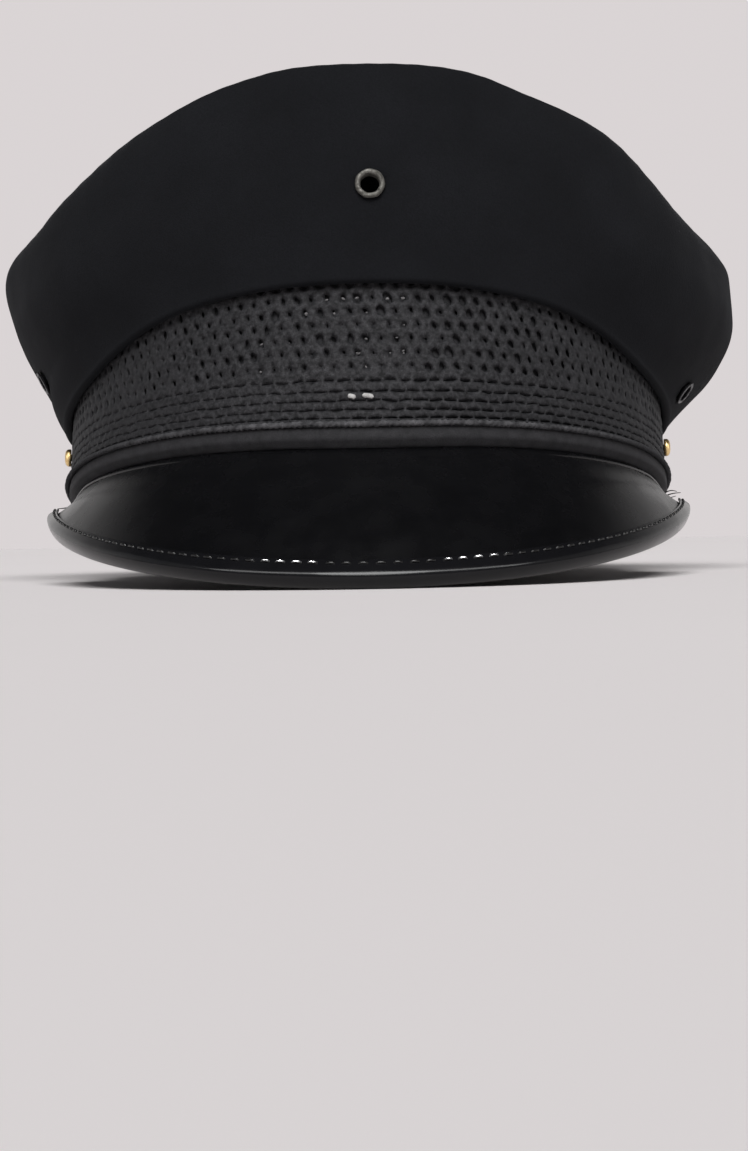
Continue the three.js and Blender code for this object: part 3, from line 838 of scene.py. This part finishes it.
def braid():
    """The openwork braid: a net of rounded webs round staggered holes, pressed into ribs below."""
    gaps = np.diff([row[0] for row in BRAID_ROWS])
    below = np.concatenate([[0.6], gaps])
    above = np.concatenate([gaps, [0.6]])
    corner_x = np.array([0, 1, 2, 2, 2, 1, 0, -1, -2, -2, -2, -1]) / 4 * BRAID_PITCH
    corner_up = np.array([2, 1.5, 1, 0, -1, -1.5, -2, -1.5, -1, 0, 1, 1.5]) / 3
    turn = np.arctan2(corner_up, corner_x / BRAID_PITCH)
    sides = len(corner_x)
    rings = []
    for index, (height, half_width, half_height, closed) in enumerate(BRAID_ROWS):
        way = (np.arange(BRAID_COLUMNS) + 0.5 * (index % 2)) * BRAID_PITCH
        front = (way + whole_way / 2) % whole_way - whole_way / 2
        away = front - (BRAID_OPEN_WAY if half_height > RIB_HALF_HEIGHT else RIB_OPEN_WAY)
        openness = lerp(BRAID_SIDE_SHARE, 1, np.exp(-((away / BRAID_OPEN_REACH) ** 2)))
        chance = np.array([rng.uniform(-1, 1) for _ in range(BRAID_COLUMNS)])
        if half_height > RIB_HALF_HEIGHT:
            size = (0.7 + 0.48 * chance) * (1 - closed * np.exp(-((front / BRAID_CLOSED_REACH) ** 2)))
            high = size * openness**0.3
            wide = size * openness
        else:
            high = openness**1.5 * (0.8 + 0.3 * chance)
            wide = 0.95 + 0.05 * chance
        sizes = np.stack([wide, high, np.minimum(wide, high)])[..., None]
        hole_z = half_height * np.sin(turn)
        hole = np.stack([half_width * np.cos(turn) - BRAID_LEAN * hole_z, hole_z])
        edge = np.stack([corner_x, corner_up * np.where(corner_up > 0, above[index], below[index])])
        last = index in (0, len(BRAID_ROWS) - 1)
        end = (corner_up < -0.3) if index == 0 else (corner_up > 0.3)
        for level, (x, z) in enumerate((edge, lerp(hole, edge, 0.45), hole, edge)):
            spread_x, spread_z, deep = sizes if level == 2 else np.ones_like(sizes)
            out = BRAID_LEVELS[level] * deep * np.ones(sides)
            if last and level in (0, 3):
                out[:, end] = -BRAID_THICKNESS / 2
            rings.append(np.stack([way[:, None] + x * spread_x, height + z * spread_z, out], -1))
    net = np.array(rings).reshape(len(BRAID_ROWS), 4, BRAID_COLUMNS, sides, 3).transpose(0, 2, 1, 3, 4)
    flat = net.reshape(-1, 3)
    wavy = flat + np.array([braid_drift(x, z) for x, z, _ in flat])
    keys = np.round(np.stack([flat[:, 0] % whole_way, flat[:, 1], flat[:, 2]], -1), 3)
    keys[:, 0] = np.where(keys[:, 0] >= round(whole_way, 3), 0, keys[:, 0])
    _, first, shared = np.unique(keys, axis=0, return_index=True, return_inverse=True)
    way, height, out = wavy[first].T
    points = band_point(direction_at(way % whole_way), out + band_face(height), height)
    cells = len(BRAID_ROWS) * BRAID_COLUMNS
    faces = np.arange(cells)[:, None, None] * 4 * sides + grid_faces(4, sides, 0)
    shape = Shape().add(points, [shared.ravel()[faces.reshape(-1, 4)]])
    return shape.piece("openwork_braid", [braid_thread], "braid_mesh", "band_braid")


def braid_drift(way, height):
    """How far the braid's threads wander from even rows, along, up and out, at one place."""
    turn = way / whole_way * 2 * math.pi
    place = Vector((math.sin(turn) * 30, math.cos(turn) * 30, height / 7))
    near = Vector((math.sin(turn) * 66, math.cos(turn) * 66, height * 0.66))
    inside = min(1, max(0, (height - 6.5) / 3), max(0, (41.5 - height) / 2))
    along = 0.7 * noise.noise(place)
    upward = 0.45 * noise.noise(place + Vector((9, 4, 31)))
    outward = 0.24 * noise.noise(near)
    return inside * along, inside * upward, inside * outward


CORD_STEPS = 1700
CORD_TWIST_LENGTH = 3.1


def border_cord():
    """The two-ply cord along the upper edge of the border strip."""
    way = even_ways(CORD_STEPS)
    angle = np.arange(12) * 2 * np.pi / 12
    twist = way / whole_way * round(whole_way / CORD_TWIST_LENGTH) * 2 * np.pi
    lobes = 1 + 0.17 * np.cos(2 * (angle[None, :] - twist[:, None]))
    hair = np.array([[rng.uniform(-0.09, 0.09) for _ in angle] for _ in way])
    radius = CORD_RADIUS * lobes + hair
    out = BORDER_STEP + CORD_RADIUS * 0.8 + radius * np.cos(angle)
    height = CORD_HEIGHT + radius * np.sin(angle)
    shape = ring(Shape(), band_point(direction_at(way)[:, None], out, height))
    return shape.piece("border_cord", [cord_yarn], "piping_cord", "border_piping")


def sweatband():
    outer = -BRAID_THICKNESS - FRAME_THICKNESS - 2 * FIT
    top = outer + band_face(SWEAT_TOP)
    corners = [
        (outer - SWEAT_THICKNESS, SWEAT_BOTTOM),
        (outer, SWEAT_BOTTOM),
        (top, SWEAT_TOP),
        (top - SWEAT_THICKNESS, SWEAT_TOP),
    ]
    section = filled(rounded(corners, 0.5), 2.4)
    directions = direction_at(even_ways(300))
    wave = 0.12 * np.sin(np.radians(directions) * 7)[:, None] * (section[:, 1] / SWEAT_TOP) ** 2
    out = section[:, 0] - np.abs(wave)
    shape = ring(Shape(), band_point(directions[:, None], out, section[:, 1]))
    return shape.piece("sweatband_leather", [sweat_leather], "sweat_leather", "sweatband")


FLECK_COUNT = 26


def pale_flecks():
    """Pale lumps in some of the braid's openings round the middle of the front: painted light, standing
    in for bright specks of light seen through the openings.
    """
    shape = Shape()
    part = np.linspace(-1, 1, 5)
    for _ in range(FLECK_COUNT):
        row = rng.randrange(6, 12)
        column = round(rng.gauss(-1, 3.2))
        way = (column + 0.5 * (row % 2)) * BRAID_PITCH + rng.uniform(-0.4, 0.4)
        height = BRAID_ROWS[row][0] + rng.uniform(-0.4, 0.4)
        half = rng.uniform(0.25, 0.6)
        lean = rng.uniform(-0.8, 0.8)
        out = -0.45 + band_face(height)
        places = band_point(direction_at(way + part * half), out, height + part * half * lean)
        tube(shape, places, rounded_ends(5, rng.uniform(0.18, 0.38)), 6)
    return shape.piece("pale_flecks", [glimpsed_light], "braid_mesh")


def tack_threads():
    """Short white threads that tack the braid at the middle of the front."""
    shape = Shape()
    part = np.linspace(-1, 1, 9)
    for way, height, length, tilt in ((-3.7, 12.4, 1.9, -0.12), (0.3, 12.5, 2.8, -0.08)):
        out = 0.35 + 0.3 * np.cos(part * np.pi / 2) + band_face(height)
        places = band_point(direction_at(way + part * length / 2), out, height + part * tilt * length)
        middle = direction_at(way)
        outward = oval_point(middle, 1, 0) - oval_point(middle, 0, 0)
        tube(shape, places, rounded_ends(9, 0.62), 8, 0.8, outward)
    return shape.piece("tack_threads", [tack_thread], "braid_mesh")


band_frame()
braid()
border_cord()
sweatband()
pale_flecks()
tack_threads()


# The peak


def peak_plate():
    """The blade: a flange tucked under the band, a small roll along the band, then the smooth slope."""
    sink = BINDING_THICKNESS + BINDING_FIT
    flange = BORDER_STEP - BORDER_ROUND - PEAK_TUCK + FIT
    directions = np.linspace(-PEAK_REACH, PEAK_REACH, 190)
    length = peak_axes(directions)[1]
    bound = length - bound_width(length)
    slope = [part * bound for part in stops(PEAK_START, (0.3, 8), (1, 14))]
    slope += [length - sink - 0.5, length - sink]
    depths = [sink * np.minimum(1, distance / length / BINDING_SINK_END) for distance in slope]
    upper, lower = [
        [peak_point(directions, distance, depth + thick) for distance, depth in zip(slope, depths)]
        for thick in (0, PEAK_THICKNESS)
    ]
    edge = (upper[-1] + lower[-1]) / 2 + (upper[-1] - upper[-2])
    tuck = np.linspace(flange, BORDER_STEP - BORDER_ROUND, 5)
    over = [band_point(directions, out, -FIT) for out in tuck]
    under = band_point(directions, flange, -FIT - PEAK_FLANGE_THICKNESS)
    shape = capped(Shape(), np.stack([*over, *upper, edge, *lower[::-1], under], axis=1))
    return shape.piece("peak_blade", [peak_leather], "peak_leather", "peak")


LIP_REACH = 70
LIP_START = 24


def peak_lip():
    """The thin roll of leather along the seam between the peak and the band; it sinks into the blade
    in the middle and at both ends."""
    directions = np.linspace(-LIP_REACH, LIP_REACH, 240)
    turn = np.abs(directions)
    fade = np.clip((LIP_REACH - turn) / 9, 0, 1) * np.clip((turn - LIP_START) / 14, 0, 1)
    path = peak_point(directions, np.full(len(directions), 1.7), 0.75 - 0.55 * fade)
    shape = tube(Shape(), path, 0.2 + 0.26 * fade, 10)
    return shape.piece("peak_lip", [peak_leather], "peak_leather")


STITCH_PITCH = 3.85
STITCH_LENGTH = 2.5
STITCH_INSET = 4.2
# The rounding of the binding's eight corners, from its upper inner one round the rim
BINDING_ROUNDS = (0.3, BINDING_ROUND, BINDING_ROUND, 0.3, 0.3, 0.3, 0.3, 0.3)


def peak_binding():
    """The strip folded round the rim, with rounded corners and slightly pressed along its stitches."""
    directions = np.linspace(-PEAK_REACH, PEAK_REACH, 220)[:, None]
    length = peak_axes(directions)[1]
    width = bound_width(length)
    thick, deep = BINDING_THICKNESS, BINDING_DEPTH
    sections = []
    for (reach,), (inner,) in zip(length, length - width):
        outside = [(inner, 0), (reach, 0), (reach, deep), (inner, deep)]
        turned = reach - thick
        inside = [(inner, deep - thick), (turned, deep - thick), (turned, thick), (inner, thick)]
        sections.append(rounded(outside + inside, BINDING_ROUNDS, 6))
    sections = np.array(sections)
    pressed = np.exp(-(((length - STITCH_INSET) - sections[..., 0]) / 0.9) ** 2)
    upper = (sections[..., 1] < 0.1) & (width > 5)
    sections[..., 1] += np.where(upper, 0.16 * pressed, 0)
    shape = capped(Shape(), peak_point(directions, sections[..., 0], sections[..., 1]))
    return shape.piece("peak_binding_strip", [binding_leather], "binding_leather", "peak_binding")


def peak_stitches():
    """The row of stitches through the binding and the blade, above and below."""
    directions = np.linspace(-PEAK_REACH, PEAK_REACH, 1200)
    length = peak_axes(directions)[1]
    kept = bound_width(length) > STITCH_INSET + 0.6
    directions = directions[kept]
    distance = length[kept] - STITCH_INSET
    faces = peak_axes(directions)[3]
    part = np.linspace(-1, 1, 9)
    shape = Shape()
    for depth, outward in ((-0.16, 1), (BINDING_DEPTH + 0.12, -1)):
        line = peak_point(directions, distance, np.full(len(directions), depth))
        way = way_along(line)
        for index in range(int(way[-1] / STITCH_PITCH)):
            middle = (index + 0.5) * STITCH_PITCH + rng.uniform(-0.15, 0.15)
            half = STITCH_LENGTH / 2 * rng.uniform(0.9, 1.06)
            places = np.stack([np.interp(middle + part * half, way, row) for row in line.T], -1)
            face = np.array([np.interp(middle, way, row) for row in faces.T]) * outward
            places = places - face * (0.42 * np.abs(part) ** 3)[:, None]
            tube(shape, places, rounded_ends(9, 0.38 * rng.uniform(0.92, 1.08)), 8, 0.8, face)
    return shape.piece("peak_stitches", [thread], "binding_leather")


def loose_threads():
    """The frayed thread ends that stick out of the binding at its two tips."""
    shape = Shape()
    for side, count in ((-1, 2), (1, 3)):
        tip = peak_point(np.array([side * PEAK_REACH]), np.array([2.0]), np.array([1.2]))[0]
        for index in range(count):
            part = np.linspace(0, 1, 8)[:, None]
            reach = np.array([side * rng.uniform(3.2, 5.6), rng.uniform(1, 3), rng.uniform(-0.8, 1.6)])
            bow = np.array([0, 0, rng.uniform(-0.7, 0.7)])
            path = tip + np.array([0, 0, index * 0.9 - 0.9]) + reach * part + bow * np.sin(part * np.pi)
            tube(shape, path, np.linspace(0.24, 0.1, 8), 6)
    return shape.piece("loose_threads", [thread], "binding_leather")


peak_plate()
peak_lip()
binding = peak_binding()
stitches = peak_stitches()
loose_threads()


# The eyelets and the studs


def eyelet(name, hole_place, materials, slot, node):
    """A domed ring outside the cloth, a barrel through it and a rolled edge behind it. The crest of the
    ring has the last of the materials."""
    seat = hole_place[2]
    hole, outer, barrel, flange = EYELET_HOLE, EYELET_RADIUS, EYELET_BARREL, EYELET_FLANGE
    turn = np.linspace(0, np.pi, 9)
    share = (1 - np.cos(turn)) / 2
    rise = 0.05 + flange * np.sin(turn)
    drop = 0.05 + 0.9 * flange * np.sin(turn)
    dome = np.stack([lerp(hole, outer, share), seat + rise], -1)
    roll = np.stack([lerp(outer - FIT, hole, share), -seat - drop], -1)
    profile = [*dome, (outer, seat), (barrel, seat), (barrel, -seat), *roll]
    shape = lathe(Shape(), profile, *eyelet_place(hole_place), 56, 0.012)
    places = range(len(shape.faces))
    looks = [(len(materials) - 1) * (2 <= place % len(profile) <= 5) for place in places]
    return shape.piece(name, materials, slot, node, looks=looks)


def stud(name, side, node):
    """A rounded brass head outside the braid on a shank through braid and frame."""
    direction = np.array(side * STUD_DIRECTION, float)
    face = band_point(direction, band_face(STUD_HEIGHT), STUD_HEIGHT)
    axis = band_point(direction, band_face(STUD_HEIGHT) + 1, STUD_HEIGHT) - face
    end = -BRAID_THICKNESS - FRAME_THICKNESS - FIT
    turn = np.linspace(0, np.pi / 2, 8)
    side_height = 0.7
    rise = STUD_HEAD_DEPTH - side_height
    dome = [(STUD_HEAD_RADIUS * np.cos(a) ** 0.6, FIT + side_height + rise * np.sin(a)) for a in turn]
    shank = [(0.02, end), (STUD_SHANK_RADIUS, end), (STUD_SHANK_RADIUS, FIT)]
    rim = [(STUD_HEAD_RADIUS - 0.15, FIT), (STUD_HEAD_RADIUS, FIT + 0.15)]
    profile = [*shank, *rim, *dome[:-1], (0.02, FIT + STUD_HEAD_DEPTH)]
    return lathe(Shape(), profile, face, axis, 40).piece(name, [brass], "stud_brass", node)


eyelet("front_badge_eyelet", FRONT_EYELET, [nickel], "eyelet_metal", "front_eyelet")
eyelet("vent_ring_left", LEFT_VENT, [dark_enamel, worn_rim], "vent_metal", "vent_eyelet_left")
eyelet("vent_ring_right", RIGHT_VENT, [dark_enamel, worn_rim], "vent_metal", "vent_eyelet_right")
studs = stud("brass_stud_left", -1, "strap_stud_left"), stud("brass_stud_right", 1, "strap_stud_right")


# The camera: as far from the cap as in the photograph, and as low as the floor lets it stand

IMAGE_WIDTH = 748
IMAGE_HEIGHT = 1151
FOCAL_PIXELS = 1600
CAMERA_DISTANCE = 0.5
CAMERA_RISE = math.radians(-10.1)
CAMERA_ROLL = math.radians(1.02)
CAP_PIXEL = (369, 520.4)
GLINT_POWER = 200
GLINT_DISTANCE = 0.4
FLOOR_RADIUS = 8
FLOOR_SIDES = 96
CAP_MIDDLE = (0, 0, 0.05)


def make_camera():
    data = bpy.data.cameras.new("camera")
    data.sensor_width = 36
    data.lens = FOCAL_PIXELS / IMAGE_HEIGHT * data.sensor_width
    data.clip_start = 0.005
    data.clip_end = 50
    camera = add_object("camera", data)
    bpy.context.scene.camera = camera
    outward = cap_turn @ Vector((0, -math.cos(CAMERA_RISE), math.sin(CAMERA_RISE)))
    aimed = (-outward).to_track_quat("-Z", "Y").to_matrix()
    aimed = aimed @ Matrix.Rotation(-CAMERA_ROLL, 3, "Z")
    across = (CAP_PIXEL[0] - IMAGE_WIDTH / 2) / FOCAL_PIXELS
    up = (IMAGE_HEIGHT / 2 - CAP_PIXEL[1]) / FOCAL_PIXELS
    framed = Vector((across, up, -1)).rotation_difference(Vector((0, 0, -1))).to_matrix()
    place = Matrix.Translation(cap_origin + outward * CAMERA_DISTANCE)
    camera.matrix_world = place @ (aimed @ framed).to_4x4()


def make_floor():
    """A plain pale floor that reaches to the horizon."""
    paint = Paint(bpy.data.materials.new("pale_floor"))
    colour = paint.mix(paint.clouds(3, 3), (0.92, 0.875, 0.88), (0.96, 0.915, 0.92))
    material = paint.finish({"Base Color": colour, "Roughness": 0.9, "Specular IOR Level": 0.1})
    mesh = bpy.data.meshes.new("floor")
    turns = [index * 2 * math.pi / FLOOR_SIDES for index in range(FLOOR_SIDES)]
    rim = [(FLOOR_RADIUS * math.cos(a), FLOOR_RADIUS * math.sin(a), 0) for a in turns]
    mesh.from_pydata(rim, [], [list(range(FLOOR_SIDES))])
    mesh.materials.append(material)
    add_object("floor", mesh)


def add_light(name, kind, place, aim, power, lit=(), **settings):
    """A light turned from its place toward its aim. It shines on the lit pieces alone, if any."""
    data = bpy.data.lights.new(name, kind)
    data.energy = power
    for key, value in settings.items():
        setattr(data, key, value)
    light = add_object(name, data)
    light.location = place
    light.rotation_euler = (Vector(aim) - Vector(place)).to_track_quat("-Z", "Y").to_euler()
    if lit:
        pieces = bpy.data.collections.new(light.name + "_pieces")
        for piece in lit:
            pieces.objects.link(piece)
        light.light_linking.receiver_collection = pieces
    return light


def soft_light(name, place, size, power, tint=(1, 1, 1), lit=(), aim=CAP_MIDDLE):
    """A soft oblong light that the camera doesn't see."""
    shape = {"shape": "RECTANGLE", "size": size[0], "size_y": size[1], "color": tint}
    add_light(name, "AREA", place, aim, power, lit, **shape).visible_camera = False


def glint_lamp(name, direction, across):
    """A narrow lamp over one stretch of the peak's stitches, which lights nothing else."""
    direction = np.array([direction])
    length = peak_axes(direction)[1]
    aim = cap_turn @ Vector(peak_point(direction, length - STITCH_INSET, 0)[0] * MM) + cap_origin
    place = aim + Vector((across, 0.15, 0.96)) * GLINT_DISTANCE
    beam = {"spot_size": math.radians(1.5), "spot_blend": 0.3, "shadow_soft_size": 0.004}
    add_light(name, "SPOT", place, aim, GLINT_POWER, [stitches], **beam)


def make_sky():
    """A pale wall colour where nothing else is seen. Its light is that of a pale wall low behind the
    cap, and darker walls beside it, under a dark ceiling."""
    world = bpy.data.worlds.new("world")
    bpy.context.scene.world = world
    sky = Paint(world)
    seen = sky.nodes["Background"]
    sky.fill(seen.inputs["Color"], (0.7, 0.66, 0.665))
    height = sky.spread(sky.axis("Generated", "Z"), 0.65, 0.015, 0.2, 0.6)
    behind = sky.spread(sky.axis("Generated", "Y"), 0.25, 1, 0.1, 0.6)
    strength = sky.math("MULTIPLY", height, behind)
    lit = sky.node("Background", {"Color": (1, 0.975, 0.97), "Strength": strength})
    straight = sky.node("LightPath", {}).outputs["Is Camera Ray"]
    mix = sky.node("MixShader", {0: straight, 1: lit.outputs[0], 2: seen.outputs[0]})
    sky.fill(sky.nodes["World Output"].inputs["Surface"], mix.outputs[0])


make_camera()
make_floor()
make_sky()
add_light("key", "SUN", (0, -1, 1), (0, 0, 0), 2.95, angle=math.radians(40))
soft_light("back_light", (0, 1.3, 1.1), (1, 0.7), 12, lit=cap_pieces)
soft_light("left_side", (-1.3, 0, 0.5), (1, 0.7), 0.35, (0.94, 0.97, 1))
soft_light("right_side", (1.3, 0, 0.5), (1, 0.7), 0.35, (1, 0.97, 0.95))
soft_light("edge_strip", (0, -0.42, 0.32), (1.5, 0.14), 4, lit=[binding], aim=(0, -0.13, 0.03))
for side in (-1, 1):
    soft_light("stud_light", (0.8 * side, -0.5, 0.15), (0.8, 0.8), 4, lit=studs)
glint_lamp("left_glint", -11, -0.235)
glint_lamp("right_glint", 14, 0.235)

bpy.context.scene.view_settings.view_transform = "Standard"
